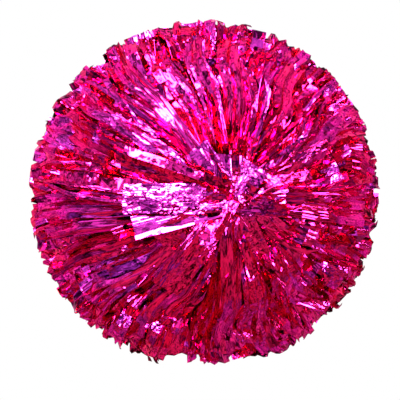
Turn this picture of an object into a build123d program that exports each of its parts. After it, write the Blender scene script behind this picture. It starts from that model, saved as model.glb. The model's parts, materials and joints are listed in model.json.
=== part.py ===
"""A cheerleading pom pom with a hidden baton handle.

Two tufts of metallised film streamers sit on the ends of a short baton. Each tuft is
gathered round the neck of a hub by a cable tie, and the hub turns freely on the bolt that
holds the whole baton together. The pom pom lies on its lower tuft: Z is the baton's axis,
and the origin is on the surface below the middle of the baton.
"""

import math
import os

from build123d import *

# Overall sizes, in millimetres
pom_diameter = 320.0
crown_height = 132.0  # from the middle of the baton to the top of the upper tuft
rest_flattening = 14.0  # how far its own weight presses the lower tuft in

# Streamer packs
skirt_count = 8  # packs round each tuft that face the hand
crown_count = 8  # packs round each tuft that face away from the hand
pack_gap = 1.2  # degrees between neighbouring packs
layer_gap = 2.0  # between skirt, crown and centre packs
parting_gap = 11.0  # slit between the two tufts at the rim
seam_angle = 24.0  # where skirt meets crown on the rim, degrees of the ellipse
center_radius = 44.0  # top of the centre pack
mouth_height = 88.0  # room for the hand where the skirts part, at the rim
mouth_angle = -90.0  # direction of the hand opening

# Handle
grip_length = 86.0
tube_diameter = 22.0
tube_wall = 2.0
sleeve_wall = 3.0
sleeve_end_gap = 1.0
sleeve_rounding = 1.5
groove_count = 7
groove_radius = 1.6
groove_depth = 0.8
flange_diameter = 44.0
flange_thickness = 3.0
flange_rounding = 1.0
spigot_length = 14.0
spigot_lead_in = 1.0

# Tie bolt and what runs on it
bolt_diameter = 5.0
bolt_fit = 0.06  # radial clearance of every bore on the bolt
bolt_overhang = 2.0
bolt_tip_chamfer = 0.6
hex_across_flats = 8.0
bolt_head_height = 3.5
nut_height = 5.0
nut_collar_height = 1.2
nut_collar_inset = 0.4
end_washer_diameter = 15.0
end_washer_thickness = 1.2
thrust_washer_diameter = 20.0
thrust_washer_thickness = 1.0
swivel_clearance = 0.2  # axial play on each side of a hub

# Hub, film waist and cable tie
neck_diameter = 18.0
neck_length = 20.5
hub_flange_thickness = 2.5
hub_inner_flange_diameter = 34.0
hub_outer_flange_diameter = 30.0
hub_edge_break = 0.5
waist_wall = 4.0  # thickness of the film gathered on the neck
skirt_exit = 6.8  # length of waist that the skirt leaves from
tie_width = 4.8
tie_thickness = 1.4
tie_head_size = (6.5, 7.5, 5.4)  # along the radius, along the strap, along the axis
tie_tail_length = 4.0
clearance = 1.5  # between streamer packs and the hard parts that they pass

# Heights, from the surface or above the middle of the baton, worked out along the stack
rest_height = crown_height - rest_flattening
flange_top = grip_length / 2 + flange_thickness
thrust_top = flange_top + thrust_washer_thickness
hub_bottom = thrust_top + swivel_clearance
neck_bottom = hub_bottom + hub_flange_thickness
neck_top = neck_bottom + neck_length
hub_top = neck_top + hub_flange_thickness
end_washer_bottom = hub_top + swivel_clearance
end_washer_top = end_washer_bottom + end_washer_thickness
nut_top = end_washer_top + nut_height
bolt_tip = nut_top + bolt_overhang
tie_bottom = neck_bottom + skirt_exit
tie_top = tie_bottom + tie_width

# Radii
rim_radius = pom_diameter / 2
flange_radius = flange_diameter / 2
waist_radius = neck_diameter / 2 + waist_wall
tie_radius = waist_radius + tie_thickness
tie_head_radius = tie_radius + tie_head_size[0] + clearance
hub_outer_radius = hub_outer_flange_diameter / 2
bore_radius = bolt_diameter / 2 + bolt_fit

UPPER, LOWER = 1, -1
SIDES = {"upper": UPPER, "lower": LOWER}


def height(side, above_middle):
    """Z of a height measured from the middle of the baton towards the given side's tuft."""
    return rest_height + side * above_middle


def radial_plane(angle):
    """A plane through the Z axis: local X runs out at the angle, local Y runs up."""
    turn = math.radians(angle)
    outwards = (math.cos(turn), math.sin(turn), 0)
    return Plane(origin=(0, 0, 0), x_dir=outwards, z_dir=(math.sin(turn), -math.cos(turn), 0))


def profile(side, points):
    """Points (radius, height above the middle) as sketch points on a radial plane."""
    return [(radius, height(side, above)) for radius, above in points]


def on_outline(angle):
    """A point of the tuft's elliptical outline, as (radius, height above the middle)."""
    turn = math.radians(angle)
    return (rim_radius * math.cos(turn), crown_height * math.sin(turn))


def outline_angle(radius):
    """The ellipse angle where the outline has a radius."""
    return math.degrees(math.acos(radius / rim_radius))


def outline_angle_at(above):
    """The ellipse angle where the outline has a height above the middle."""
    return math.degrees(math.asin(above / crown_height))


def outline_arc(side, start, end):
    """The tuft's outline between two ellipse angles, in the current BuildLine."""
    return EllipticalCenterArc(
        (0, height(side, 0)), rim_radius, crown_height, side * start, arc_size=side * (end - start)
    )


def write(part, label):
    part.label = label
    export_step(part, f"parts/{label}.step")


def ring(name, side, inner_radius, outer_radius, bottom, top):
    """A plain turned ring about the baton's axis."""
    with BuildPart() as turned:
        with BuildSketch(Plane.XY.offset(min(height(side, bottom), height(side, top)))):
            Circle(outer_radius)
            Circle(inner_radius, mode=Mode.SUBTRACT)
        extrude(amount=top - bottom)
    write(turned.part, name)


def grip_tube():
    inner_radius = tube_diameter / 2 - tube_wall
    ring("grip_tube", UPPER, inner_radius, tube_diameter / 2, -grip_length / 2, grip_length / 2)


def grip_sleeve():
    """The soft sleeve that the hand holds, with a row of shallow finger grooves."""
    radius = tube_diameter / 2 + sleeve_wall
    half = grip_length / 2 - sleeve_end_gap
    pitch = 2 * half / (groove_count + 1)
    groove_center = radius + groove_radius - groove_depth
    with BuildPart() as sleeve:
        with BuildSketch(Plane.XY.offset(height(UPPER, -half))):
            Circle(radius)
            Circle(tube_diameter / 2, mode=Mode.SUBTRACT)
        extrude(amount=2 * half)
        rims = sleeve.edges().filter_by(GeomType.CIRCLE).sort_by(SortBy.RADIUS)[-2:]
        fillet(rims, sleeve_rounding)
        for number in range(1, groove_count + 1):
            with BuildSketch(Plane.XZ):
                with Locations((groove_center, height(UPPER, number * pitch - half))):
                    Circle(groove_radius)
            revolve(axis=Axis.Z, mode=Mode.SUBTRACT)
    write(sleeve.part, "grip_sleeve")


def end_plug(name, side):
    """The flanged plug that closes one end of the tube and guards the hand."""
    tube_end = grip_length / 2
    spigot_radius = tube_diameter / 2 - tube_wall
    with BuildPart() as plug:
        with BuildSketch(Plane.XZ):
            with BuildLine():
                Polyline(
                    profile(
                        side,
                        [
                            (bore_radius, tube_end - spigot_length),
                            (spigot_radius - spigot_lead_in, tube_end - spigot_length),
                            (spigot_radius, tube_end - spigot_length + spigot_lead_in),
                            (spigot_radius, tube_end),
                            (flange_radius, tube_end),
                            (flange_radius, flange_top),
                            (bore_radius, flange_top),
                        ],
                    ),
                    close=True,
                )
            make_face()
        revolve(axis=Axis.Z)
        rims = plug.edges().filter_by(GeomType.CIRCLE).sort_by(SortBy.RADIUS)[-2:]
        fillet(rims, flange_rounding)
    write(plug.part, name)


def hub(name, side):
    """The spool that carries the film and turns on the bolt."""
    with BuildPart() as spool:
        with BuildSketch(Plane.XZ):
            with BuildLine():
                Polyline(
                    profile(
                        side,
                        [
                            (bore_radius, hub_bottom),
                            (hub_inner_flange_diameter / 2, hub_bottom),
                            (hub_inner_flange_diameter / 2, neck_bottom),
                            (neck_diameter / 2, neck_bottom),
                            (neck_diameter / 2, neck_top),
                            (hub_outer_radius, neck_top),
                            (hub_outer_radius, hub_top),
                            (bore_radius, hub_top),
                        ],
                    ),
                    close=True,
                )
            make_face()
        revolve(axis=Axis.Z)
        rims = spool.edges().filter_by(GeomType.CIRCLE).sort_by(SortBy.RADIUS)[-4:]
        chamfer(rims, hub_edge_break)
    write(spool.part, name)


def tie_bolt():
    """The bolt through the whole baton, with a hexagon head at the lower end."""
    head_top = height(LOWER, end_washer_top)
    tip = height(UPPER, bolt_tip)
    with BuildPart() as bolt:
        with BuildSketch(Plane.XY.offset(head_top - bolt_head_height)):
            RegularPolygon(hex_across_flats / 2, 6, major_radius=False)
        extrude(amount=bolt_head_height)
        with BuildSketch(Plane.XY.offset(head_top)):
            Circle(bolt_diameter / 2)
        extrude(amount=tip - head_top)
        chamfer(bolt.edges().filter_by(GeomType.CIRCLE).sort_by(Axis.Z)[-1:], bolt_tip_chamfer)
    write(bolt.part, "tie_bolt")


def lock_nut():
    """The self-locking nut at the upper end: a hexagon with a round collar."""
    bottom = height(UPPER, end_washer_top)
    with BuildPart() as nut:
        with BuildSketch(Plane.XY.offset(bottom)):
            RegularPolygon(hex_across_flats / 2, 6, major_radius=False)
        extrude(amount=nut_height - nut_collar_height)
        with BuildSketch(Plane.XY.offset(bottom + nut_height - nut_collar_height)):
            Circle(hex_across_flats / 2 - nut_collar_inset)
        extrude(amount=nut_collar_height)
        with BuildSketch(Plane.XY.offset(bottom)):
            Circle(bolt_diameter / 2)
        extrude(amount=nut_height, mode=Mode.SUBTRACT)
    write(nut.part, "lock_nut")


def cable_tie(name, side):
    """The nylon tie round the film waist: its strap, its head and the trimmed tail."""
    depth, along, tall = tie_head_size
    middle = height(side, (tie_bottom + tie_top) / 2)
    with BuildPart() as tie:
        with BuildSketch(Plane.XY.offset(middle - tie_width / 2)):
            Circle(tie_radius)
            Circle(waist_radius, mode=Mode.SUBTRACT)
        extrude(amount=tie_width)
        with BuildSketch(Plane.XY.offset(middle - tall / 2)):
            with Locations((tie_radius - tie_thickness / 2, 0)):
                Rectangle(depth, along, align=(Align.MIN, Align.CENTER))
        extrude(amount=tall)
        with BuildSketch(Plane.XY.offset(middle - tie_width / 2)):
            with Locations((tie_radius + depth / 2, along / 2)):
                Rectangle(tie_thickness, tie_tail_length, align=(Align.CENTER, Align.MIN))
        extrude(amount=tie_width)
    write(tie.part, name)


def skirt_pack(name, side, middle_angle, is_mouth):
    """One pack of streamers between the tie and the handle, spread out to the rim.

    The packs at the hand opening are thinner, so that a hand reaches the grip.
    """
    spread = 360 / skirt_count - pack_gap
    over_hub = (hub_inner_flange_diameter / 2 + clearance, neck_bottom)
    over_guard = (flange_radius + clearance, flange_top + clearance)
    rim_foot = mouth_height / 2 if is_mouth else parting_gap / 2
    foot_angle = outline_angle_at(rim_foot)
    last_angle = seam_angle - math.degrees(layer_gap / 2 / rim_radius)
    seam_radius, seam_height = on_outline(last_angle)
    with BuildPart() as pack:
        with BuildSketch(radial_plane(middle_angle - spread / 2)):
            with BuildLine():
                outline_arc(side, foot_angle, last_angle)
                Polyline(
                    profile(
                        side,
                        [
                            (seam_radius, seam_height),
                            (tie_head_radius, tie_bottom - clearance / 2),
                            (waist_radius, tie_bottom - clearance / 2),
                            (waist_radius, neck_bottom),
                            over_hub,
                            over_guard,
                            on_outline(foot_angle),
                        ],
                    )
                )
            make_face()
        revolve(axis=Axis.Z, revolution_arc=spread)
    write(pack.part, name)


def crown_pack(name, side, middle_angle):
    """One pack of streamers beyond the tie, from the rim up to the centre pack."""
    spread = 360 / crown_count - pack_gap
    first_angle = seam_angle + math.degrees(layer_gap / 2 / rim_radius)
    last_angle = outline_angle(center_radius)
    top_radius, top_height = on_outline(last_angle)
    with BuildPart() as pack:
        with BuildSketch(radial_plane(middle_angle - spread / 2)):
            with BuildLine():
                outline_arc(side, first_angle, last_angle)
                Polyline(
                    profile(
                        side,
                        [
                            (top_radius, top_height),
                            (hub_outer_radius + clearance, hub_top + clearance),
                            (hub_outer_radius + clearance, neck_top - clearance),
                            (waist_radius, neck_top - clearance),
                            (waist_radius, tie_top + clearance / 2),
                            (tie_head_radius, tie_top + clearance / 2),
                            on_outline(first_angle),
                        ],
                    )
                )
            make_face()
        revolve(axis=Axis.Z, revolution_arc=spread)
        split(bisect_by=Plane.XY, keep=Keep.TOP)
    write(pack.part, name)


def center_pack(name, side):
    """The streamers that stand over the end of the baton and fill the middle of the crown."""
    foot = bolt_tip + clearance
    crown_radius, crown_top = center_radius, on_outline(outline_angle(center_radius))[1]
    wall_radius = hub_outer_radius + clearance
    slope = (crown_radius - wall_radius) / (crown_top - hub_top - clearance)
    foot_radius = wall_radius + slope * (foot - hub_top - clearance) - layer_gap
    shoulder = on_outline(outline_angle(center_radius - layer_gap))
    apex, shoulder_point = profile(side, [(0, crown_height), shoulder])
    with BuildPart() as pack:
        with BuildSketch(Plane.XZ):
            with BuildLine():
                TangentArc(apex, shoulder_point, tangent=(1, 0))
                Polyline(
                    profile(side, [shoulder, (foot_radius, foot), (0, foot), (0, crown_height)])
                )
            make_face()
        revolve(axis=Axis.Z)
        split(bisect_by=Plane.XY, keep=Keep.TOP)
    write(pack.part, name)


def tuft(side_name, side):
    """Everything that turns with one hub."""
    hub(f"{side_name}_hub", side)
    ring(f"{side_name}_film_waist", side, neck_diameter / 2, waist_radius, neck_bottom, neck_top)
    cable_tie(f"{side_name}_cable_tie", side)
    skirt_step = 360 / skirt_count
    for number in range(skirt_count):
        angle = mouth_angle + number * skirt_step
        skirt_pack(f"{side_name}_skirt_streamers_{number + 1}", side, angle, number == 0)
    crown_step = 360 / crown_count
    for number in range(crown_count):
        angle = mouth_angle + (number + 0.5) * crown_step
        crown_pack(f"{side_name}_crown_streamers_{number + 1}", side, angle)
    center_pack(f"{side_name}_center_streamers", side)


def handle():
    """The baton: what the hand holds and what the hubs turn on."""
    grip_tube()
    grip_sleeve()
    tie_bolt()
    lock_nut()
    for side_name, side in SIDES.items():
        end_plug(f"{side_name}_end_plug", side)
        thrust_radius = thrust_washer_diameter / 2
        ring(f"{side_name}_thrust_washer", side, bore_radius, thrust_radius, flange_top, thrust_top)
        end_radius = end_washer_diameter / 2
        ring(f"{side_name}_end_washer", side, bore_radius, end_radius, end_washer_bottom, end_washer_top)


os.makedirs("parts", exist_ok=True)
handle()
for side_name, side in SIDES.items():
    tuft(side_name, side)
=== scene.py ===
"""Looks of the cheerleading pom pom: its film streamers, the finish of its baton, and the stage."""

import json
import math
from functools import partial
import bpy
import numpy as np
from bpy.props import FloatProperty, FloatVectorProperty, IntProperty, PointerProperty
from bpy.types import Operator, Panel, PropertyGroup
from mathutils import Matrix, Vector


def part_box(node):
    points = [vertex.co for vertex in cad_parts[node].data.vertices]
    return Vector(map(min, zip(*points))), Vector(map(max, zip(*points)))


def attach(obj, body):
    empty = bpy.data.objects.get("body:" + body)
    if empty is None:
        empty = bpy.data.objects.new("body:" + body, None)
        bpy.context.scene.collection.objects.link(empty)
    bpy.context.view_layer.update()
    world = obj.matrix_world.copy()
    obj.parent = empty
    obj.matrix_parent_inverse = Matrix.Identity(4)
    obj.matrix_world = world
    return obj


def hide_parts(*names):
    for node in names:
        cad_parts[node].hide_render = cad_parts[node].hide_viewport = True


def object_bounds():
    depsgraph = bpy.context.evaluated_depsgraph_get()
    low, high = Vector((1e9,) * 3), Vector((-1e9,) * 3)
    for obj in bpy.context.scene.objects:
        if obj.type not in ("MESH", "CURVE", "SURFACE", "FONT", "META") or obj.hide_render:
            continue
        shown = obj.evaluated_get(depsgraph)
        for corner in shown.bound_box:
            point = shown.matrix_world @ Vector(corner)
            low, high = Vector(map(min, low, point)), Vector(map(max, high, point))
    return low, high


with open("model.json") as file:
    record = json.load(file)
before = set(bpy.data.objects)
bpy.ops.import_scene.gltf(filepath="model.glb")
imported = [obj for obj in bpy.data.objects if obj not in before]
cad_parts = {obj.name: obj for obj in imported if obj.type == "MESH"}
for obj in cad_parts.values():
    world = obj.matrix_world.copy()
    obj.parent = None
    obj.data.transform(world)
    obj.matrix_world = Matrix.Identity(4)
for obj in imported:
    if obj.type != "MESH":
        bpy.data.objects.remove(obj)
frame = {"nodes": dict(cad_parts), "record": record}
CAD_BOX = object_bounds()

bl_info = {
    "name": "Pom Pom Maker",
    "version": (1, 0, 0),
    "blender": (4, 5, 0),
    "location": "3D View > Sidebar > Pom Pom",
    "description": "Makes the film streamers, the baton's finish and the stage of a cheerleading pom pom",
    "category": "Object",
}

BATON_MIDDLE = next(mount["pos_m"][2] for mount in frame["record"]["mounts"] if mount["name"] == "grip")


def box_radius(node):
    """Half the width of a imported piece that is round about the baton."""
    low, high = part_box(node)
    return (high[0] - low[0]) / 2


def box_heights(node):
    """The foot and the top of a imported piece, measured from the baton's middle."""
    low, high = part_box(node)
    return low[2] - BATON_MIDDLE, high[2] - BATON_MIDDLE


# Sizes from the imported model, in metres, with heights measured from the baton's middle
RIM_RADIUS = (CAD_BOX[1][0] - CAD_BOX[0][0]) / 2
CROWN_HEIGHT = CAD_BOX[1][2] - BATON_MIDDLE
REST_DEPTH = BATON_MIDDLE - CAD_BOX[0][2]
WAIST_RADIUS = box_radius("upper_film_waist")
WAIST_FOOT, WAIST_TOP = box_heights("upper_film_waist")
TIE_FOOT, TIE_TOP = box_heights("upper_cable_tie")
HUB_RADIUS = box_radius("upper_hub")
GUARD_RADIUS = box_radius("upper_end_plug")
GUARD_TOP = box_heights("upper_end_plug")[1]
BOLT_TIP = box_heights("tie_bolt")[1]
SIDES = {"upper": 1, "lower": -1}

# The film bunched on the neck
BUNCH_DEPTH = 0.004
NECK_RADIUS = WAIST_RADIUS - BUNCH_DEPTH
TIE_INSET = 0.0012  # of the bunched film under the tie, from the waist's outline
TIE_SPREAD = 0.0009  # by how much the film spreads again beside the tie
TIE_SHOULDER = 0.004  # height over which it does

# Where streamers start, below and above the cable tie
BELOW_TIE = (WAIST_FOOT + 0.002, TIE_FOOT - 0.0005)
ABOVE_TIE = (TIE_TOP + 0.0005, WAIST_TOP - 0.001)

# The film stays outside the hub, the nut and the bolt: least radius at each height
CORE_HEIGHTS = (WAIST_FOOT, WAIST_TOP, WAIST_TOP + 0.0005, BOLT_TIP + 0.002, BOLT_TIP + 0.008)
CORE_RADII = (WAIST_RADIUS, WAIST_RADIUS, HUB_RADIUS, HUB_RADIUS, 0.0)
# It stays above the hub's inner flange, the hand guard and the hand: least height at each radius
PARTING = 0.0015  # from the level between the tufts to either tuft's film at the rim
FOOT_RADII = (HUB_RADIUS + 0.0005, HUB_RADIUS + 0.0015, GUARD_RADIUS + 0.002, RIM_RADIUS)
FOOT_HEIGHTS = (WAIST_FOOT + 0.0005, GUARD_TOP + 0.002, GUARD_TOP + 0.0018, PARTING)
# Film that would lie too low is lifted above that foot, by this share of how low it was, up to a depth
FOOT_SPREAD, FOOT_DEPTH = 0.25, 0.006
# Film of the lower tuft stays this far off the rest face, and is pressed back by this share of the rest
REST_GAP, REST_SPREAD = 0.0012, 0.18

# Packs of streamers stand round each tuft, and the first skirt pack is at the hand opening
PACK_COUNT = 8
PACK_STEP = 2 * math.pi / PACK_COUNT
MOUTH_AZIMUTH = -math.pi / 2
# Seeds of the random spread: a tuft's own, and what each kind of film piece adds to it
TUFT_SEEDS = {1: 300, -1: 100}
RING_SEEDS = {"skirt": 0, "crown": 20}
CENTER_SEED, WAIST_SEED = 50, 900

# Reaches are shares of the tuft's outline, and angles are degrees above the rim
SKIRT_REACH, SKIRT_HIGHEST = (0.945, 0.992), 25.0
SKIRT_LOWEST, MOUTH_LOWEST = 0.8, 21.5
SKIRT_CROWDING = 3.0  # the higher, the more of the skirt's ends lie near the rim
SKIRT_KNEE, FILLER_KNEE = 0.027, 0.021  # radius where streamers turn outwards
SKIRT_STRAIGHT = 0.3  # share of the skirt that runs straight out and doesn't droop
SHOULDER_REACH, SHOULDER_RISE = (0.90, 0.965), (7.0, 15.0)  # where the drooping ones turn down
FILLER_REACH, FILLER_TIP = (0.88, 0.98), (24.0, 55.0)
COVER_REACH, COVER_TOP = (0.84, 0.955), (62.0, 74.0)
COVER_TIP, COVER_TIP_AT_MOUTH = (7.0, 32.0), 24.0
NEAR_MOUTH = 0.6 * PACK_STEP
CENTER_REACH = (0.06, 0.12)  # in metres from the baton
# Radius and height at which streamers pass the hub's outer flange, negative on the far side
COVER_RISE, CENTER_RISE, PANEL_RISE = (0.018, 0.088), (-0.0185, 0.086), (-0.017, 0.090)
# Degrees that streamers stray sideways, and how loosely they hold their roll
WANDER = {"skirt": 5.0, "filler": 6.0, "cover": 7.0, "center": 14.0}
LOOSENESS = {"skirt": 0.5, "filler": 0.4, "cover": 0.2, "center": 0.15, "panel": 0.0}
SWAY = 0.0025  # how far their middles stray to one side
# Spread of roll and twist in degrees, held firmly, and what full looseness adds
ROLL_SPREAD, TWIST_SPREAD = (12.0, 40.0), (22.0, 40.0)
FLICK_SHARE, FLICK_SPREAD = 0.3, 50.0  # some free ends are flicked over
CURL_SPREAD = 16.0
SHUT_FOLD = math.radians(78.0)  # of the pleats where the tie closes them
PLEAT_EVENNESS = 3.5  # the higher, the more alike a streamer's facets are in width
KINK_PLACES, KINK_HEIGHT, KINK_LENGTH = (0.3, 0.95), 0.0035, 0.16  # places and length as shares of it
DENTS = (0.0001, 0.0006)  # depth of dents in smooth film, and what full crumpling adds
SHARP_EDGE = math.radians(24.0)  # pleats that fold by more than this stay sharp

STEPS_BETWEEN = 12  # on the smooth curve between two points of a route

# The crown's film leans towards the point where the broad panels on top come together
GATHER_POINT = (0.019, -0.003)
LEAN_START, LEAN_RISE = 0.002, 0.018  # from the bolt's tip to where it leans, and from there to the full lean
# The broad panels: azimuth, reach, depth in the crown, roll, pleat angle, crumple
PANELS = (
    (15.0, 0.080, 0.0065, 10.0, 12.0, 0.5),
    (120.0, 0.046, 0.0060, -25.0, 10.0, 0.5),
    (262.0, 0.060, 0.0065, 10.0, 14.0, 0.3),
    (300.0, 0.064, 0.0060, 15.0, 12.0, 0.6),
    (325.0, 0.076, 0.0060, 20.0, 10.0, 0.7),
    (-6.0, 0.062, 0.0050, -14.0, 6.0, 0.4),
    (30.0, 0.060, 0.0060, -30.0, 8.0, 0.3),
    (52.0, 0.034, 0.0040, -20.0, 16.0, 0.7),
    (88.0, 0.034, 0.0040, 12.0, 18.0, 0.3),
    (160.0, 0.084, 0.0050, -30.0, 12.0, 0.5),
    (215.0, 0.062, 0.0050, -20.0, 10.0, 0.7),
    (238.0, 0.086, 0.0045, -4.0, 6.0, 0.4),
    (279.0, 0.116, 0.0040, -22.0, 8.0, 0.1),
    (197.0, 0.074, 0.0045, 14.0, 10.0, 0.1),
    (181.0, 0.078, 0.0020, 14.0, 6.0, 0.7),
    (243.0, 0.042, 0.0015, 20.0, 6.0, 0.8),
)
# Crumples of the film: scale, and the least and most tilt of the facets they leave
FACETS = (
    ((190.0, 22.0, 1.0), 0.24, 0.10),
    ((85.0, 60.0, 1.0), 0.0, 0.52),
    ((330.0, 170.0, 1.0), 0.05, 0.42),
)
# Creases of the film: scale, detail, depth, and their least and most strength
CREASES = (
    ((260.0, 8.0, 1.0), 1.0, 0.0012, 0.7, 0.1),
    ((150.0, 95.0, 1.0), 2.0, 0.0022, 0.1, 0.8),
)

# The room that the film mirrors: its light side, and shades from the side away from it (0) to that side (1);
# the two ends come first
BRIGHT_DIRECTION = Vector((-0.5, 0.75, 0.45)).normalized()
STUDIO_SHADES = (
    (0.0, (0.44, 0.10, 0.12)),
    (1.0, (1.1, 1.1, 1.55)),
    (0.48, (0.68, 0.15, 0.17)),
    (0.66, (0.08, 0.05, 0.20)),
    (0.80, (0.62, 0.62, 1.05)),
)
STUDIO_GLOW = (0.02, 1.5)  # brightness of its darkest and lightest patches
FLOOR_SHADES = ((0.02, 0.01, 0.02), (0.62, 0.33, 0.5))  # as the film mirrors them
FLOOR_RADIUS = 4.0
# Noise patterns: scale, detail, roughness
PATTERNS = {
    "scuffs": (55.0, 5.0, 0.6),
    "scratches": (1.0, 3.0, 0.5),
    # The film's tone pattern, partly its own dyed tone and partly painted shade that deepens it to crimson
    "dye": (38.0, 3.0, 0.55),
    "floor": (9.0, 3.0, 0.6),
    "room": (4.5, 3.0, 0.6),
}
# Lamps: name, place, width and height, power, colour
LAMPS = (
    ("key", (-0.75, 0.85, 1.25), (0.8, 0.6), 60.0, (1.0, 0.98, 1.0)),
    ("window", (0.1, 1.3, 0.55), (1.0, 0.2), 20.0, (0.9, 0.93, 1.0)),
    ("top", (-0.14, -0.1, 1.5), (0.2, 0.4), 9.0, (1.0, 1.0, 1.0)),
    ("side", (1.3, 0.1, 0.5), (0.12, 0.8), 6.0, (1.0, 0.95, 0.97)),
)


# ---------------------------------------------------------------- settings


class StreamerSettings(PropertyGroup):
    """Sizes and colour of the film streamers."""

    width: FloatProperty(
        name="Width", description="Flat width of one streamer", default=0.025, min=0.005, unit="LENGTH"
    )
    thickness: FloatProperty(
        name="Thickness", description="Thickness of the film", default=0.00016, min=0.00002, unit="LENGTH"
    )
    facets: IntProperty(
        name="Facets", description="Flat facets between the pleats of one streamer", default=5, min=2
    )
    spans: IntProperty(name="Spans", description="Spans along one streamer", default=13, min=6)
    skirt_count: IntProperty(
        name="Skirt Streamers", description="Streamers in one skirt pack", default=27, min=1
    )
    mouth_count: IntProperty(
        name="Mouth Streamers", description="Streamers in the pack at the hand opening", default=12, min=1
    )
    filler_count: IntProperty(
        name="Crown Fillers", description="Upright streamers in one crown pack", default=9, min=0
    )
    cover_count: IntProperty(
        name="Crown Covers", description="Streamers that arch over one crown pack", default=17, min=1
    )
    center_count: IntProperty(
        name="Center Streamers", description="Streamers that cross over the baton's end", default=26, min=1
    )
    color: FloatVectorProperty(
        name="Film Color",
        description="Tint of light that the film reflects once",
        subtype="COLOR",
        default=(0.85, 0.042, 0.48),
        min=0.0,
        max=1.0,
    )
    # The deep colour is partly the film's own dyed tone and partly painted shade: it stands in for the
    # crimson that light bounced between the films gives, and is mixed in by a noise pattern and a random
    # value for each streamer, not at the creases
    deep_color: FloatVectorProperty(
        name="Deep Film Color",
        description="Redder tint of the film in its creases",
        subtype="COLOR",
        default=(0.80, 0.007, 0.17),
        min=0.0,
        max=1.0,
    )


class WaistSettings(PropertyGroup):
    """The film bunched on the neck of each hub."""

    pleats: IntProperty(name="Pleats", description="Pleats round the neck", default=56, min=8)
    rows: IntProperty(name="Rows", description="Spans up the neck", default=10, min=4)
    neck_gap: FloatProperty(
        name="Neck Gap",
        description="Gap between the film and the neck",
        default=0.0004,
        min=0.0,
        unit="LENGTH",
    )


class HardwareSettings(PropertyGroup):
    """Colours and finish of the baton's hard parts."""

    plastic_color: FloatVectorProperty(
        name="Plastic", description="Moulded plastic", default=(0.82, 0.82, 0.8), subtype="COLOR", size=3
    )
    foam_color: FloatVectorProperty(
        name="Foam", description="Foam grip sleeve", default=(0.018, 0.018, 0.02), subtype="COLOR", size=3
    )
    nylon_color: FloatVectorProperty(
        name="Nylon", description="Undyed nylon", default=(0.74, 0.71, 0.6), subtype="COLOR", size=3
    )
    steel_color: FloatVectorProperty(
        name="Steel", description="Zinc-plated steel", default=(0.62, 0.64, 0.67), subtype="COLOR", size=3
    )
    wear: FloatProperty(
        name="Wear", description="Strength of scuffs and handling marks", default=0.5, min=0.0, max=1.0
    )


class StageSettings(PropertyGroup):
    """The camera and the floor."""

    view_width: FloatProperty(
        name="View Width", description="Width that the camera sees at the rim", default=0.368, unit="LENGTH"
    )
    lens: FloatProperty(name="Lens", description="Focal length in millimetres", default=85.0, min=20.0)
    view_right: FloatProperty(
        name="Shift Right", description="How far the view is centred left of the pom pom", default=-0.004
    )
    view_up: FloatProperty(
        name="Shift Up", description="How far the view is centred below the pom pom", default=-0.0045
    )
    floor_color: FloatVectorProperty(
        name="Floor Color", description="Color of the floor", subtype="COLOR", default=(1.0, 1.0, 1.0)
    )


# ---------------------------------------------------------------- routes of the streamers


def spread(rng, middle, count):
    """Azimuths spaced about evenly over one pack, in no exact order."""
    return middle + PACK_STEP * (np.arange(count) + rng.random(count) - count / 2) / max(count, 1)


def shell(angle, share):
    """A point (radius, height above the middle) on the tuft's outline, scaled by a share."""
    return (share * RIM_RADIUS * math.cos(angle), share * CROWN_HEIGHT * math.sin(angle))


def bend_between(start, end, lift):
    """The middle of a gentle arch from start to end, lifted square to the line between them."""
    across, up = end[0] - start[0], end[1] - start[1]
    span = math.hypot(across, up)
    return (
        (start[0] + end[0]) / 2 - lift * up / span,
        (start[1] + end[1]) / 2 + lift * across / span,
    )


def turned_out(rng, points, azimuth, wander):
    """A route in one upright plane, (radius, height), turned to an azimuth and swayed sideways."""
    drift = math.radians(rng.normal(0.0, wander))
    sway = rng.normal(0.0, SWAY)
    route = []
    for place, (radius, height) in enumerate(points):
        share = place / (len(points) - 1)
        turn = azimuth + drift * share**1.5
        aside = sway * math.sin(math.pi * share)
        route.append(
            (
                radius * math.cos(turn) - aside * math.sin(turn),
                radius * math.sin(turn) + aside * math.cos(turn),
                height,
            )
        )
    return route


def skirt_route(rng, azimuth, lowest):
    """From under the tie out to the rim, over the hand guard; most of them droop at the rim."""
    start = (WAIST_RADIUS, rng.uniform(*BELOW_TIE))
    angle = lowest + (math.radians(SKIRT_HIGHEST) - lowest) * rng.random() ** SKIRT_CROWDING
    end = shell(angle, rng.uniform(*SKIRT_REACH))
    knee = (SKIRT_KNEE, start[1] + rng.uniform(0.0, 0.002))
    if rng.random() < SKIRT_STRAIGHT:
        points = [start, knee, bend_between(knee, end, rng.uniform(0.001, 0.008)), end]
    else:
        shoulder = shell(angle + math.radians(rng.uniform(*SHOULDER_RISE)), rng.uniform(*SHOULDER_REACH))
        points = [start, knee, bend_between(knee, shoulder, rng.uniform(-0.002, 0.006)), shoulder, end]
    return turned_out(rng, points, azimuth, WANDER["skirt"])


def filler_route(rng, azimuth):
    """From above the tie straight out to the crown's surface."""
    start = (WAIST_RADIUS, rng.uniform(*ABOVE_TIE))
    angle = math.radians(rng.uniform(*FILLER_TIP))
    end = shell(angle, rng.uniform(*FILLER_REACH))
    knee = (FILLER_KNEE, start[1] + rng.uniform(0.006, 0.012))
    points = [start, knee, bend_between(knee, end, rng.uniform(-0.004, 0.012)), end]
    return turned_out(rng, points, azimuth, WANDER["filler"])


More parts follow.
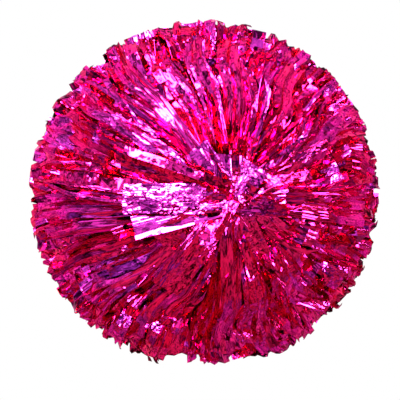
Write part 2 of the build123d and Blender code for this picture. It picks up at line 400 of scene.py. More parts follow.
def cover_route(rng, azimuth):
    """Up beside the hub, over the top of the crown and down towards the rim, clear of the hand opening."""
    start = (WAIST_RADIUS, rng.uniform(*ABOVE_TIE))
    share = rng.uniform(*COVER_REACH)
    lowest, highest = COVER_TIP
    if abs(math.remainder(azimuth - MOUTH_AZIMUTH, 2 * math.pi)) < NEAR_MOUTH:
        lowest = COVER_TIP_AT_MOUTH
    tip = math.radians(rng.uniform(lowest, highest))
    high = math.radians(rng.uniform(*COVER_TOP))
    middle = (high + tip) / 2 + math.radians(rng.uniform(-3.0, 3.0))
    rise = (COVER_RISE[0] + rng.uniform(0.0, 0.004), COVER_RISE[1] + rng.uniform(0.0, 0.010))
    points = [start, rise, shell(high, share), shell(middle, share), shell(tip, share + 0.01)]
    return turned_out(rng, points, azimuth, WANDER["cover"])


def center_route(rng, azimuth):
    """Up beside the hub, across the end of the baton and down the far side."""
    start = (-WAIST_RADIUS, rng.uniform(*ABOVE_TIE))
    rise = (CENTER_RISE[0], CENTER_RISE[1] + rng.uniform(0.0, 0.006))
    over = (rng.uniform(-0.006, 0.010), BOLT_TIP + rng.uniform(0.010, 0.024))
    reach = rng.uniform(*CENTER_REACH)
    end = (reach, over[1] - rng.uniform(0.006, 0.03))
    middle = (reach * 0.55, over[1] + rng.uniform(0.002, 0.008))
    return turned_out(rng, [start, rise, over, middle, end], azimuth, WANDER["center"])


def panel_route(azimuth, reach, depth):
    """Up beside the hub to the point where the broad panels gather, then out over the crown."""
    heading = np.array([math.cos(azimuth), math.sin(azimuth)])
    route = [(*(-WAIST_RADIUS * heading), (TIE_TOP + WAIST_TOP) / 2)]
    route.append((*(PANEL_RISE[0] * heading), PANEL_RISE[1]))
    for share, lower in ((0.0, 0.005), (0.35, 0.0), (0.7, 0.0), (1.0, 0.001)):
        place = share * reach * heading
        outside = np.hypot(*(place + GATHER_POINT)) / RIM_RADIUS
        route.append((*place, CROWN_HEIGHT * math.sqrt(1.0 - outside**2) - depth - lower))
    return route


# ---------------------------------------------------------------- packs of streamers


def random_turn(rng, degrees):
    """An angle in radians that strays from zero by about so many degrees."""
    return math.radians(rng.normal(0.0, degrees))


class Hold:
    """How one streamer is held: its roll, pleats and crumples."""

    def __init__(self, rng, facets, loose):
        self.roll = random_turn(rng, ROLL_SPREAD[0] + ROLL_SPREAD[1] * loose)
        self.twist = random_turn(rng, TWIST_SPREAD[0] + TWIST_SPREAD[1] * loose)
        self.flick = random_turn(rng, FLICK_SPREAD) if rng.random() < FLICK_SHARE else 0.0
        self.flick_at = rng.uniform(0.4, 0.85)
        self.open_fold = np.radians(rng.uniform(6.0, 22.0 + 45.0 * rng.random(), facets))
        self.gather = rng.uniform(1.6, 3.6)
        self.curl = random_turn(rng, CURL_SPREAD)
        self.crumple = rng.beta(0.8, 1.4)
        self.kinks = rng.integers(0, 3)


def skirt_pack(number, rng, settings):
    """Routes and holds of one pack between the tie and the hand; it is thin at the hand opening."""
    is_mouth = number == 0
    count = settings.mouth_count if is_mouth else settings.skirt_count
    lowest = math.radians(MOUTH_LOWEST if is_mouth else SKIRT_LOWEST)
    for azimuth in spread(rng, MOUTH_AZIMUTH + number * PACK_STEP, count):
        yield skirt_route(rng, azimuth, lowest), Hold(rng, settings.facets, LOOSENESS["skirt"])


def crown_pack(number, rng, settings):
    """Routes and holds of one pack beyond the tie: upright fillers, and covers that arch over them."""
    middle = MOUTH_AZIMUTH + (number + 0.5) * PACK_STEP
    for azimuth in spread(rng, middle, settings.filler_count):
        yield filler_route(rng, azimuth), Hold(rng, settings.facets, LOOSENESS["filler"])
    for azimuth in spread(rng, middle, settings.cover_count):
        yield cover_route(rng, azimuth), Hold(rng, settings.facets, LOOSENESS["cover"])


def center_pack(rng, settings):
    """Routes and holds of the streamers that cross over the baton's end, and of the broad panels."""
    count = settings.center_count
    azimuths = 2 * math.pi * (np.arange(count) + rng.random(count)) / count
    rng.shuffle(azimuths)
    for azimuth in azimuths:
        hold = Hold(rng, settings.facets, LOOSENESS["center"])
        hold.open_fold = 0.5 * hold.open_fold
        hold.crumple = rng.uniform(0.5, 1.0)
        yield center_route(rng, azimuth), hold
    for azimuth, reach, depth, roll, fold, crumple in PANELS:
        hold = Hold(rng, settings.facets, LOOSENESS["panel"])
        hold.roll = math.radians(roll)
        hold.twist = hold.flick = hold.curl = 0.0
        hold.open_fold = np.radians(rng.uniform(0.4, 1.0, settings.facets) * fold)
        hold.gather = 2.6
        hold.crumple = crumple
        hold.kinks = 0
        yield panel_route(math.radians(azimuth), reach, depth), hold


# ---------------------------------------------------------------- bending the flat film


def smooth_route(points, spans):
    """Evenly spaced points on a smooth curve through the given ones, and its length."""
    knots = np.array(points, dtype=float)
    ends = np.vstack([2 * knots[0] - knots[1], knots, 2 * knots[-1] - knots[-2]])
    steps = np.linspace(0.0, 1.0, STEPS_BETWEEN, endpoint=False)[:, None]
    parts = []
    for a, b, c, d in zip(ends[:-3], ends[1:-2], ends[2:-1], ends[3:]):
        parts.append(
            0.5
            * (
                2 * b
                + (c - a) * steps
                + (2 * a - 5 * b + 4 * c - d) * steps**2
                + (3 * b - a - 3 * c + d) * steps**3
            )
        )
    fine = np.vstack(parts + [knots[-1:]])
    along = np.concatenate([[0.0], np.cumsum(np.linalg.norm(np.diff(fine, axis=0), axis=1))])
    wanted = np.linspace(0.0, along[-1], spans + 1)
    even = np.column_stack([np.interp(wanted, along, fine[:, axis]) for axis in range(3)])
    return even, along[-1]


def unit(vectors):
    """The same vectors, each of length one."""
    return vectors / np.maximum(np.linalg.norm(vectors, axis=-1, keepdims=True), 1e-9)


def frame_along(place):
    """Directions along the line, level across it, and up from it, at each of its points."""
    along = unit(np.gradient(place, axis=0))
    heading = unit((place[-1] - place[0]) * (1.0, 1.0, 0.0))
    across = np.cross([0.0, 0.0, 1.0], heading)
    upward = unit(np.cross(along, across))
    return along, unit(np.cross(upward, along)), upward


def roll_along(share, hold):
    """The film's roll about its own line: none at the tie, then its set roll, twist and flicked end."""
    roll = hold.roll * np.clip(3.0 * share - 0.3, 0.0, 1.0)
    roll += hold.twist * np.clip(2.0 * share, 0.0, 1.0) * (share - 0.7)
    return roll + hold.flick * np.clip((share - hold.flick_at) / 0.1, 0.0, 1.0)


def pleated_section(rng, share, settings, hold):
    """Points across the film at each span, with pleats shut at the tie that open to the free end."""
    facets = settings.facets
    widths = rng.dirichlet(np.full(facets, PLEAT_EVENNESS)) * settings.width
    signs = np.where(np.arange(facets) % 2 == 0, 1.0, -1.0) * rng.choice([-1.0, 1.0])
    closing = (1 - share[:, None]) ** hold.gather
    fold = signs * (hold.open_fold + (SHUT_FOLD - hold.open_fold) * closing)
    fold += np.radians(rng.normal(0.0, 1.0 + 4.0 * hold.crumple, fold.shape))
    fold += hold.curl * np.linspace(-1, 1, facets) * share[:, None]
    step = np.stack([widths * np.cos(fold), widths * np.sin(fold)], axis=2)
    section = np.concatenate([np.zeros((len(share), 1, 2)), np.cumsum(step, axis=1)], axis=1)
    return section - section.mean(axis=1, keepdims=True)


def bent_streamer(rng, route, side, settings, hold):
    """The vertices of one pleated streamer, as rows along it and columns across it, and its length."""
    place, length = smooth_route(route, settings.spans)
    share = np.linspace(0.0, 1.0, settings.spans + 1)
    for _ in range(hold.kinks):
        at = rng.uniform(*KINK_PLACES)
        bump = np.maximum(0.0, 1 - np.abs(share - at) / KINK_LENGTH)
        place[:, 2] += rng.normal(0.0, KINK_HEIGHT) * bump
    along, across, upward = frame_along(place)

    roll = roll_along(share, hold)
    level = across * np.cos(roll)[:, None] + upward * np.sin(roll)[:, None]
    normal = np.cross(along, level)
    section = pleated_section(rng, share, settings, hold)
    grid = place[:, None, :] + section[..., :1] * level[:, None, :] + section[..., 1:] * normal[:, None, :]

    dents = rng.normal(0.0, DENTS[0] + DENTS[1] * hold.crumple, grid.shape[:2])
    dents[0] = 0.0
    grid += dents[..., None] * normal[:, None, :]
    return keep_in_tuft(grid, side), length


def keep_in_tuft(grid, side):
    """Keeps film in its tuft's outline and off the baton and the other tuft, then sets its height."""
    radius = np.hypot(grid[..., 0], grid[..., 1])
    beyond = np.clip((grid[..., 2] - BOLT_TIP - LEAN_START) / LEAN_RISE, 0.0, 1.0)
    lean = beyond * np.maximum(0.0, 1.0 - (radius / RIM_RADIUS) ** 1.5)
    grid[..., :2] += lean[..., None] * GATHER_POINT
    radius = np.hypot(grid[..., 0], grid[..., 1])
    outside = np.sqrt((radius / RIM_RADIUS) ** 2 + (grid[..., 2] / CROWN_HEIGHT) ** 2)
    grid = grid / np.maximum(outside, 1.0)[..., None]

    radius = np.maximum(np.hypot(grid[..., 0], grid[..., 1]), 1e-6)
    core = np.interp(grid[..., 2], CORE_HEIGHTS, CORE_RADII)
    grid[..., :2] *= (np.maximum(radius, core) / radius)[..., None]
    radius = np.maximum(radius, core)
    foot = np.interp(radius, FOOT_RADII, FOOT_HEIGHTS)
    short = np.maximum(0.0, foot - grid[..., 2])
    height = np.where(short > 0, foot + FOOT_SPREAD * np.minimum(short, FOOT_DEPTH), grid[..., 2])
    if side < 0:
        floor = REST_DEPTH - REST_GAP
        height = np.where(height > floor, floor - REST_SPREAD * (height - floor), height)
    grid[..., 2] = BATON_MIDDLE + side * height
    return grid


# ---------------------------------------------------------------- film pieces


def paint(mesh, attribute, values):
    """Stores a value for each vertex, which the film's material reads."""
    layer = mesh.attributes.new(attribute, "FLOAT", "POINT")
    layer.data.foreach_set("value", np.asarray(values, dtype=np.float32))


def thicken(film):
    """Gives the selected sheet the film's thickness, half on each side."""
    wall = film.modifiers.new("film", "SOLIDIFY")
    wall.thickness = bpy.context.scene.pom_streamers.thickness
    wall.offset = 0.0
    bpy.ops.object.modifier_apply(modifier="film")


def finish_film(film, side):
    """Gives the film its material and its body."""
    film.data.materials.clear()
    film.data.materials.append(film_material())
    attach(film, "upper_tuft" if side > 0 else "lower_tuft")


def flat_film(name, count, settings, length):
    """A sheet of film slit into streamers, flat, before it is gathered and bent."""
    bpy.ops.object.select_all(action="DESELECT")
    bpy.ops.mesh.primitive_grid_add(x_subdivisions=settings.facets, y_subdivisions=settings.spans, size=1.0)
    film = bpy.context.object
    film.name = name
    film.data.name = name
    film.scale = (settings.width, length, 1.0)
    film.location = (settings.width / 2, length / 2, 0.0)
    bpy.ops.object.transform_apply(location=True, rotation=False, scale=True)
    slit = film.modifiers.new("slit", "ARRAY")
    slit.count = count
    slit.use_relative_offset = False
    slit.use_constant_offset = True
    slit.constant_offset_displace = (2 * settings.width, 0.0, 0.0)
    bpy.ops.object.modifier_apply(modifier="slit")
    return film


def streamer_piece(node, seed, side, pack, settings):
    """One pack: flat streamers, each bent along its own route, then given the film's thickness."""
    rng = np.random.default_rng(seed)
    holds, grids, lengths = [], [], []
    for route, hold in pack(rng, settings):
        grid, length = bent_streamer(rng, route, side, settings, hold)
        holds.append(hold)
        grids.append(grid)
        lengths.append(length)
    length = float(np.mean(lengths))
    film = flat_film(f"{node}_film", len(grids), settings, length)
    mesh = film.data
    flat = np.empty(len(mesh.vertices) * 3)
    mesh.vertices.foreach_get("co", flat)
    flat = flat.reshape(-1, 3)

    # Which streamer each vertex of the flat film belongs to, and its column and row there
    pitch = 2 * settings.width
    streamer = np.floor(flat[:, 0] / pitch + 0.25).astype(int)
    column = np.rint((flat[:, 0] - streamer * pitch) / settings.width * settings.facets).astype(int)
    row = np.rint(flat[:, 1] / length * settings.spans).astype(int)

    corner_vertex = np.empty(len(mesh.loops), dtype=int)
    mesh.loops.foreach_get("vertex_index", corner_vertex)
    chart = flat[corner_vertex][:, :2] + (0.0, seed * 0.5)
    mesh.uv_layers[0].data.foreach_set("uv", chart.astype(np.float32).ravel())
    # A random tone for each streamer, partly dyed tone and partly painted shade: it sets how much of the deep
    # colour the streamer gets
    paint(mesh, "dye", rng.random(len(grids))[streamer])
    paint(mesh, "crumple", np.array([hold.crumple for hold in holds])[streamer])
    mesh.vertices.foreach_set("co", np.stack(grids)[streamer, row, column].ravel())
    mesh.update()

    thicken(film)
    bpy.ops.object.shade_smooth_by_angle(angle=SHARP_EDGE)
    finish_film(film, side)
    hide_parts(node)


def ring_of_packs(ring, pack, settings):
    """One ring of packs round each tuft."""
    for side_name, side in SIDES.items():
        for number in range(PACK_COUNT):
            node = f"{side_name}_{ring}_streamers_{number + 1}"
            seed = TUFT_SEEDS[side] + RING_SEEDS[ring] + number
            streamer_piece(node, seed, side, partial(pack, number), settings)


def pleated_mesh(name, grid, corners_at, tall, side):
    """A closed ring of faces, row by row up the neck, with the flat film as its UV map."""
    rows, corners = grid.shape[0] - 1, grid.shape[1]
    faces, chart = [], []
    for row in range(rows):
        for corner in range(corners):
            after = (corner + 1) % corners
            places = [(row, corner), (row, after), (row + 1, after), (row + 1, corner)]
            flat = [(corner, row), (corner + 1, row), (corner + 1, row + 1), (corner, row + 1)]
            faces.append([up * corners + round_neck for up, round_neck in places[::side]])
            chart += [(corners_at[across], up * tall / rows) for across, up in flat[::side]]
    mesh = bpy.data.meshes.new(name)
    mesh.from_pydata(grid.reshape(-1, 3), [], faces)
    mesh.uv_layers.new(name="UVMap").data.foreach_set("uv", np.array(chart, dtype=np.float32).ravel())
    return mesh


def waist_piece(node, seed, side, settings):
    """The film bunched on the neck: a pleated sleeve that the cable tie pulls in."""
    rng = np.random.default_rng(seed)
    corners = 4 * settings.pleats
    turn = 2 * math.pi * (np.arange(corners) + rng.uniform(-0.3, 0.3, corners)) / corners
    wave = np.abs(np.arange(corners) % 4 - 2) / 2 * rng.uniform(0.75, 1.0, corners)
    height = np.linspace(WAIST_FOOT + 0.0005, WAIST_TOP - 0.0005, settings.rows + 1)
    middle, half = (TIE_FOOT + TIE_TOP) / 2, (TIE_TOP - TIE_FOOT) / 2
    loose = np.clip((np.abs(height - middle) - half) / TIE_SHOULDER, 0.0, 1.0)
    inner = NECK_RADIUS + settings.neck_gap
    outer = WAIST_RADIUS - TIE_INSET + TIE_SPREAD * loose
    radius = inner + wave * (outer - inner)[:, None]
    grid = np.stack(
        [radius * np.cos(turn), radius * np.sin(turn), np.repeat(height[:, None], corners, axis=1)], axis=2
    )
    facet_widths = np.linalg.norm(np.roll(grid, -1, axis=1) - grid, axis=2).mean(axis=0)
    corners_at = np.concatenate([[0.0], np.cumsum(facet_widths)])
    length, tall = float(facet_widths.sum()), float(height[-1] - height[0])
    grid[..., 2] = BATON_MIDDLE + side * grid[..., 2]

    name = f"{node}_pleats"
    mesh = pleated_mesh(name, grid, corners_at, tall, side)
    # A random tone for each pleat, partly dyed tone and partly painted shade
    pleat_dye_and_shade = np.repeat(rng.random(settings.pleats + 1), 4)[:corners]
    paint(mesh, "dye", np.tile(pleat_dye_and_shade, settings.rows + 1))
    paint(mesh, "crumple", np.full(len(mesh.vertices), 0.5))
    film = bpy.data.objects.new(name, mesh)
    bpy.context.scene.collection.objects.link(film)
    bpy.ops.object.select_all(action="DESELECT")
    bpy.context.view_layer.objects.active = film
    film.select_set(True)
    thicken(film)
    finish_film(film, side)
    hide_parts(node)


# ---------------------------------------------------------------- materials


def node_material(name):
    """A new material with no nodes yet, and its node tree."""
    material = bpy.data.materials.new(name)
    material.use_nodes = True
    material.node_tree.nodes.clear()
    return material, material.node_tree


def add(tree, kind, inputs=None, **properties):
    """A node with its properties and its unlinked inputs set."""
    node = tree.nodes.new(kind)
    for key, value in properties.items():
        setattr(node, key, value)
    for socket, value in (inputs or {}).items():
        node.inputs[socket].default_value = value
    return node


def link(tree, source, target):
    """Joins an output to an input."""
    tree.links.new(source, target)


def shaded(tree, **inputs):
    """A Principled shader joined to the output."""
    shader = add(tree, "ShaderNodeBsdfPrincipled", {key.replace("_", " "): v for key, v in inputs.items()})
    link(tree, shader.outputs[0], add(tree, "ShaderNodeOutputMaterial").inputs[0])
    return shader


def stretched(tree, place, scale):
    """Coordinates scaled by a different amount in each direction."""
    mapping = add(tree, "ShaderNodeMapping", {"Scale": scale})
    link(tree, place, mapping.inputs[0])
    return mapping.outputs[0]


def noise(tree, place, scale, detail, roughness):
    """A soft noise pattern over some coordinates."""
    pattern = add(tree, "ShaderNodeTexNoise", {"Scale": scale, "Detail": detail, "Roughness": roughness})
    link(tree, place, pattern.inputs["Vector"])
    return pattern.outputs[0]


def remapped(tree, value, source=(0.0, 1.0), target=(0.0, 1.0)):
    """A value moved from its source range to a target range."""
    ends = {"From Min": source[0], "From Max": source[1], "To Min": target[0], "To Max": target[1]}
    remap = add(tree, "ShaderNodeMapRange", ends)
    link(tree, value, remap.inputs[0])
    return remap.outputs[0]


def combined(tree, operation, first, second):
    """Two values put together by one operation."""
    node = add(tree, "ShaderNodeMath", operation=operation)
    link(tree, first, node.inputs[0])
    link(tree, second, node.inputs[1])
    return node.outputs[0]


def blended(tree, share, first, second):
    """A colour that goes from the first to the second as the share goes from 0 to 1."""
    # The Mix node's colour sockets are inputs 6 and 7 and output 2
    mix = add(tree, "ShaderNodeMix", {6: (*first, 1.0), 7: (*second, 1.0)}, data_type="RGBA")
    link(tree, share, mix.inputs[0])
    return mix.outputs[2]


def surface_marks():
    """A shared effect: scuffs and handling marks as a mask, and fine moulding grain as a height."""
    if "surface_marks" in bpy.data.node_groups:
        return bpy.data.node_groups["surface_marks"]
    tree = bpy.data.node_groups.new("surface_marks", "ShaderNodeTree")
    for name, default in (("Amount", 0.5), ("Grain Scale", 900.0)):
        tree.interface.new_socket(name, in_out="INPUT", socket_type="NodeSocketFloat").default_value = default
    for name in ("Scuffs", "Grain"):
        tree.interface.new_socket(name, in_out="OUTPUT", socket_type="NodeSocketFloat")
    given = add(tree, "NodeGroupInput")
    result = add(tree, "NodeGroupOutput")
    place = add(tree, "ShaderNodeTexCoord").outputs["Object"]
    patches = noise(tree, place, *PATTERNS["scuffs"])
    scratches = noise(tree, stretched(tree, place, (900.0, 900.0, 60.0)), *PATTERNS["scratches"])
    scuffs = remapped(tree, combined(tree, "MULTIPLY", patches, scratches), source=(0.18, 0.42))
    grain = add(tree, "ShaderNodeTexNoise", {"Detail": 2.0})
    link(tree, place, grain.inputs["Vector"])
    link(tree, given.outputs["Grain Scale"], grain.inputs["Scale"])
    link(tree, combined(tree, "MULTIPLY", scuffs, given.outputs["Amount"]), result.inputs["Scuffs"])
    link(tree, grain.outputs[0], result.inputs["Grain"])
    return tree


def worn_material(name, color, roughness, grain, depth, **inputs):
    """A hard or foamed material with scuffs that change its tone and gloss, and a fine grain."""
    material, tree = node_material(name)
    shader = shaded(tree, **inputs)
    amounts = {"Amount": bpy.context.scene.pom_hardware.wear, "Grain Scale": grain}
    marks = add(tree, "ShaderNodeGroup", amounts, node_tree=surface_marks())
    scuffs = marks.outputs["Scuffs"]
    worn = tuple(0.8 * channel + 0.03 for channel in color)
    link(tree, blended(tree, scuffs, color, worn), shader.inputs["Base Color"])
    gloss = remapped(tree, scuffs, target=(roughness, min(1.0, roughness + 0.35)))
    link(tree, gloss, shader.inputs["Roughness"])
    bump = add(tree, "ShaderNodeBump", {"Strength": 0.4, "Distance": depth})
    link(tree, marks.outputs["Grain"], bump.inputs["Height"])
    link(tree, bump.outputs[0], shader.inputs["Normal"])
    return material


def repaint(slot, material):
    """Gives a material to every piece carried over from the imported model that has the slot."""
    painted = [node for node in frame["nodes"].values() if node.data.materials[0].name == slot]
    if not painted:
        raise RuntimeError(f"no piece has the material slot {slot}")
    for node in painted:
        node.data.materials[0] = material


def faceted(tree, normal, cells, strength):
    """A normal that each cell of a pattern tilts its own way."""
    tilt = add(tree, "ShaderNodeVectorMath", {1: (0.5, 0.5, 0.5)}, operation="SUBTRACT")
    link(tree, cells, tilt.inputs[0])
    amount = add(tree, "ShaderNodeVectorMath", operation="SCALE")
    link(tree, tilt.outputs[0], amount.inputs[0])
    link(tree, strength, amount.inputs["Scale"])
    tilted = add(tree, "ShaderNodeVectorMath", operation="ADD")
    link(tree, normal, tilted.inputs[0])
    link(tree, amount.outputs[0], tilted.inputs[1])
    straight = add(tree, "ShaderNodeVectorMath", operation="NORMALIZE")
    link(tree, tilted.outputs[0], straight.inputs[0])
    return straight.outputs[0]


def creased(tree, normal, pattern, depth, strength):
    """A normal with a crease wherever a noise pattern passes its middle value."""
    from_middle = add(tree, "ShaderNodeMath", {1: 0.5}, operation="SUBTRACT")
    link(tree, pattern, from_middle.inputs[0])
    crease = add(tree, "ShaderNodeMath", operation="ABSOLUTE")
    link(tree, from_middle.outputs[0], crease.inputs[0])
    bump = add(tree, "ShaderNodeBump", {"Distance": depth})
    link(tree, strength, bump.inputs["Strength"])
    link(tree, crease.outputs[0], bump.inputs["Height"])
    link(tree, normal, bump.inputs["Normal"])
    return bump.outputs[0]


def film_material():
    """Metallised film: a tinted mirror with fine crumples and creases, and a thin clear lacquer."""
    if "crumpled_film" in bpy.data.materials:
        return bpy.data.materials["crumpled_film"]
    settings = bpy.context.scene.pom_streamers
    material, tree = node_material("crumpled_film")
    shader = shaded(tree, Metallic=1.0, Roughness=0.1, Coat_Weight=0.2, Coat_Roughness=0.05)
    shader.inputs["Specular Tint"].default_value = (0.85, 0.03, 0.3, 1.0)
    chart = add(tree, "ShaderNodeUVMap").outputs[0]
    # Each streamer's random tone, partly dyed tone and partly painted shade
    dye = add(tree, "ShaderNodeAttribute", attribute_name="dye").outputs["Fac"]
    crumple = add(tree, "ShaderNodeAttribute", attribute_name="crumple").outputs["Fac"]
    normal = add(tree, "ShaderNodeNewGeometry").outputs["Normal"]
    for scale, least, most in FACETS:
        cells = add(tree, "ShaderNodeTexVoronoi", {"Scale": 1.0})
        link(tree, stretched(tree, chart, scale), cells.inputs["Vector"])
        strength = remapped(tree, crumple, target=(least, most))
        normal = faceted(tree, normal, cells.outputs["Color"], strength)
    for scale, detail, depth, least, most in CREASES:
        pattern = noise(tree, stretched(tree, chart, scale), 1.0, detail, 0.5)
        strength = remapped(tree, crumple, target=(least, most))
        normal = creased(tree, normal, pattern, depth, strength)
    link(tree, normal, shader.inputs["Normal"])
    link(tree, normal, shader.inputs["Coat Normal"])

    # The film's tone is uneven from streamer to streamer and along each one. The redder, darker deep colour
    # mixed in here is partly the film's own dyed tone and partly painted shade, standing in for the crimson
    # that light bounced between the films gives.
    depth_of_dye_and_shade = combined(tree, "ADD", noise(tree, chart, *PATTERNS["dye"]), dye)
    share = remapped(tree, depth_of_dye_and_shade, source=(0.55, 1.35))
    tint = blended(tree, share, settings.color, settings.deep_color)
    link(tree, tint, shader.inputs["Base Color"])
    return material


# ---------------------------------------------------------------- stage


def seen_or_lit(tree, seen, lit):
    """One shader for what the camera sees directly, and another for what lights and mirrors see."""
    either = add(tree, "ShaderNodeMixShader")
    link(tree, add(tree, "ShaderNodeLightPath").outputs["Is Camera Ray"], either.inputs[0])
    link(tree, lit.outputs[0], either.inputs[1])
    link(tree, seen.outputs[0], either.inputs[2])
    return either


def make_floor(settings):
    """A white floor with dim patches for the film to mirror, open from below."""
    bpy.ops.object.select_all(action="DESELECT")
    bpy.ops.mesh.primitive_circle_add(vertices=96, radius=FLOOR_RADIUS, fill_type="NGON")
    floor = bpy.context.object
    floor.name = "floor"
    material, tree = node_material("floor_paint")
    patches = noise(tree, add(tree, "ShaderNodeTexCoord").outputs["Object"], *PATTERNS["floor"])
    share = remapped(tree, patches, source=(0.45, 0.56))
    coat = add(tree, "ShaderNodeBsdfDiffuse")
    link(tree, blended(tree, share, *FLOOR_SHADES), coat.inputs["Color"])
    seen = add(tree, "ShaderNodeEmission", {"Color": (*settings.floor_color, 1.0)})
    open_below = add(tree, "ShaderNodeMixShader")
    link(tree, add(tree, "ShaderNodeNewGeometry").outputs["Backfacing"], open_below.inputs[0])
    link(tree, seen_or_lit(tree, seen, coat).outputs[0], open_below.inputs[1])
    link(tree, add(tree, "ShaderNodeBsdfTransparent").outputs[0], open_below.inputs[2])
    link(tree, open_below.outputs[0], add(tree, "ShaderNodeOutputMaterial").inputs[0])
    floor.data.materials.append(material)


def make_lamps():
    """The lamps, each turned to the baton's middle."""
    for name, place, size, power, color in LAMPS:
        light = bpy.data.lights.new(name, "AREA")
        light.shape = "RECTANGLE"
        light.size, light.size_y = size
        light.energy = power
        light.color = color
        lamp = bpy.data.objects.new(name, light)
        lamp.location = place
        aim = Vector((0.0, 0.0, BATON_MIDDLE)) - Vector(place)
        lamp.rotation_euler = aim.to_track_quat("-Z", "Y").to_euler()
        bpy.context.scene.collection.objects.link(lamp)


def make_room(scene):
    """The room that the film mirrors, in uneven shades; the camera itself sees white."""
    room = bpy.data.worlds.new("studio")
    room.use_nodes = True
    tree = room.node_tree
    tree.nodes.clear()
    direction = add(tree, "ShaderNodeTexCoord").outputs["Generated"]
    toward = add(tree, "ShaderNodeVectorMath", {1: BRIGHT_DIRECTION}, operation="DOT_PRODUCT")
    link(tree, direction, toward.inputs[0])
    shade = add(tree, "ShaderNodeValToRGB")
    for number, (at, color) in enumerate(STUDIO_SHADES):
        stop = shade.color_ramp.elements[number] if number < 2 else shade.color_ramp.elements.new(at)
        stop.position = at
        stop.color = (*color, 1.0)
    link(tree, remapped(tree, toward.outputs["Value"], source=(-1.0, 1.0)), shade.inputs[0])
    corners = noise(tree, direction, *PATTERNS["room"])
    sky = add(tree, "ShaderNodeBackground")
    link(tree, shade.outputs[0], sky.inputs["Color"])
    link(tree, remapped(tree, corners, source=(0.44, 0.56), target=STUDIO_GLOW), sky.inputs["Strength"])
    wall = add(tree, "ShaderNodeBackground", {"Color": (1.0, 1.0, 1.0, 1.0)})
    link(tree, seen_or_lit(tree, wall, sky).outputs[0], add(tree, "ShaderNodeOutputWorld").inputs[0])
    scene.world = room


def make_camera(scene, settings):
    """A camera that looks straight down."""
    camera = bpy.data.cameras.new("camera")
    camera.lens = settings.lens
    distance = settings.view_width * camera.lens / camera.sensor_width
    eye = bpy.data.objects.new("camera", camera)
    eye.location = (settings.view_right, settings.view_up, BATON_MIDDLE + distance)
    scene.collection.objects.link(eye)
    scene.camera = eye


# ---------------------------------------------------------------- operators


class POMPOM_OT_skirt_streamers(Operator):
    """Make the packs of streamers between the tie and the hand, round both tufts"""

    bl_idname = "pompom.skirt_streamers"
    bl_label = "Skirt Streamers"

    def execute(self, context):
        ring_of_packs("skirt", skirt_pack, context.scene.pom_streamers)
        return {"FINISHED"}


class POMPOM_OT_crown_streamers(Operator):
    """Make the packs of streamers beyond the tie, from the rim up to the middle of each crown"""

    bl_idname = "pompom.crown_streamers"
    bl_label = "Crown Streamers"

    def execute(self, context):
        ring_of_packs("crown", crown_pack, context.scene.pom_streamers)
        return {"FINISHED"}


class POMPOM_OT_center_streamers(Operator):
    """Make the streamers that cross over the ends of the baton, with the broad panels on top"""

    bl_idname = "pompom.center_streamers"
    bl_label = "Center Streamers"

    def execute(self, context):
        settings = context.scene.pom_streamers
        for side_name, side in SIDES.items():
            node = f"{side_name}_center_streamers"
            streamer_piece(node, TUFT_SEEDS[side] + CENTER_SEED, side, center_pack, settings)
        return {"FINISHED"}


class POMPOM_OT_film_waists(Operator):
    """Make the pleated film that each cable tie bunches on the neck of its hub"""

    bl_idname = "pompom.film_waists"
    bl_label = "Film Waists"

    def execute(self, context):
        for side_name, side in SIDES.items():
            waist_piece(f"{side_name}_film_waist", WAIST_SEED + side, side, context.scene.pom_waist)
        return {"FINISHED"}


class POMPOM_OT_plastic_parts(Operator):
    """Finish the hubs, the grip tube and the end plugs in moulded plastic"""

    bl_idname = "pompom.plastic_parts"
    bl_label = "Plastic Parts"

    def execute(self, context):
        color = context.scene.pom_hardware.plastic_color
        plastic = worn_material(
            "moulded_plastic", color, roughness=0.28, grain=700.0, depth=0.00003, IOR=1.49
        )
        repaint("white_plastic", plastic)
        return {"FINISHED"}


class POMPOM_OT_grip_sleeve(Operator):
    """Finish the grip sleeve in closed-cell foam"""

    bl_idname = "pompom.grip_sleeve"
    bl_label = "Grip Sleeve"

    def execute(self, context):
        color = context.scene.pom_hardware.foam_color
        foam = worn_material(
            "closed_cell_foam", color, roughness=0.62, grain=1500.0, depth=0.00025, Sheen_Weight=0.25
        )
        repaint("foam_sleeve", foam)
        return {"FINISHED"}


class POMPOM_OT_nylon_parts(Operator):
    """Finish the cable ties and the thrust washers in undyed nylon"""

    bl_idname = "pompom.nylon_parts"
    bl_label = "Nylon Parts"

    def execute(self, context):
        color = context.scene.pom_hardware.nylon_color
        nylon = worn_material(
            "undyed_nylon",
            color,
            roughness=0.38,
            grain=400.0,
            depth=0.00004,
            Subsurface_Weight=0.4,
            Subsurface_Scale=0.002,
        )
        repaint("natural_nylon", nylon)
        return {"FINISHED"}


class POMPOM_OT_steel_parts(Operator):
    """Finish the bolt, its nut and the end washers in zinc plate"""

    bl_idname = "pompom.steel_parts"
    bl_label = "Steel Parts"

    def execute(self, context):
        color = context.scene.pom_hardware.steel_color
        zinc = worn_material("zinc_plate", color, roughness=0.24, grain=300.0, depth=0.00002, Metallic=1.0)
        repaint("zinc_steel", zinc)
        return {"FINISHED"}


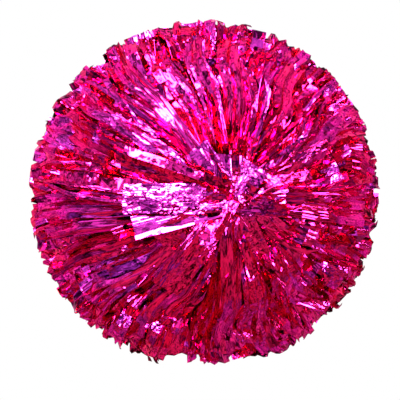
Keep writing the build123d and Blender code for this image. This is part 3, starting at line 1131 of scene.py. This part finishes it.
class POMPOM_OT_stage(Operator):
    """Set up the floor, the lights and the camera"""

    bl_idname = "pompom.stage"
    bl_label = "Stage"

    def execute(self, context):
        settings = context.scene.pom_stage
        make_floor(settings)
        make_lamps()
        make_room(context.scene)
        make_camera(context.scene, settings)
        context.scene.view_settings.view_transform = "Standard"
        return {"FINISHED"}


class POMPOM_PT_sidebar(Panel):
    """Lists the pom pom's settings and makers"""

    bl_idname = "POMPOM_PT_sidebar"
    bl_label = "Pom Pom"
    bl_space_type = "VIEW_3D"
    bl_region_type = "UI"
    bl_category = "Pom Pom"

    def draw(self, context):
        for name in SETTINGS:
            group = getattr(context.scene, name)
            for key in group.__annotations__:
                self.layout.prop(group, key)
        for maker in MAKERS:
            self.layout.operator(maker.bl_idname)


SETTINGS = {
    "pom_streamers": StreamerSettings,
    "pom_waist": WaistSettings,
    "pom_hardware": HardwareSettings,
    "pom_stage": StageSettings,
}
MAKERS = (
    POMPOM_OT_stage,
    POMPOM_OT_plastic_parts,
    POMPOM_OT_grip_sleeve,
    POMPOM_OT_nylon_parts,
    POMPOM_OT_steel_parts,
    POMPOM_OT_film_waists,
    POMPOM_OT_skirt_streamers,
    POMPOM_OT_crown_streamers,
    POMPOM_OT_center_streamers,
)


def register():
    for name, group in SETTINGS.items():
        bpy.utils.register_class(group)
        setattr(bpy.types.Scene, name, PointerProperty(type=group))
    for maker in MAKERS:
        bpy.utils.register_class(maker)
    bpy.utils.register_class(POMPOM_PT_sidebar)


def unregister():
    bpy.utils.unregister_class(POMPOM_PT_sidebar)
    for maker in reversed(MAKERS):
        bpy.utils.unregister_class(maker)
    for name, group in SETTINGS.items():
        delattr(bpy.types.Scene, name)
        bpy.utils.unregister_class(group)


def main():
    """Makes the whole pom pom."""
    register()
    bpy.ops.pompom.stage()
    bpy.ops.pompom.plastic_parts()
    bpy.ops.pompom.grip_sleeve()
    bpy.ops.pompom.nylon_parts()
    bpy.ops.pompom.steel_parts()
    bpy.ops.pompom.film_waists()
    bpy.ops.pompom.skirt_streamers()
    bpy.ops.pompom.crown_streamers()
    bpy.ops.pompom.center_streamers()


if __name__ == "__main__":
    main()
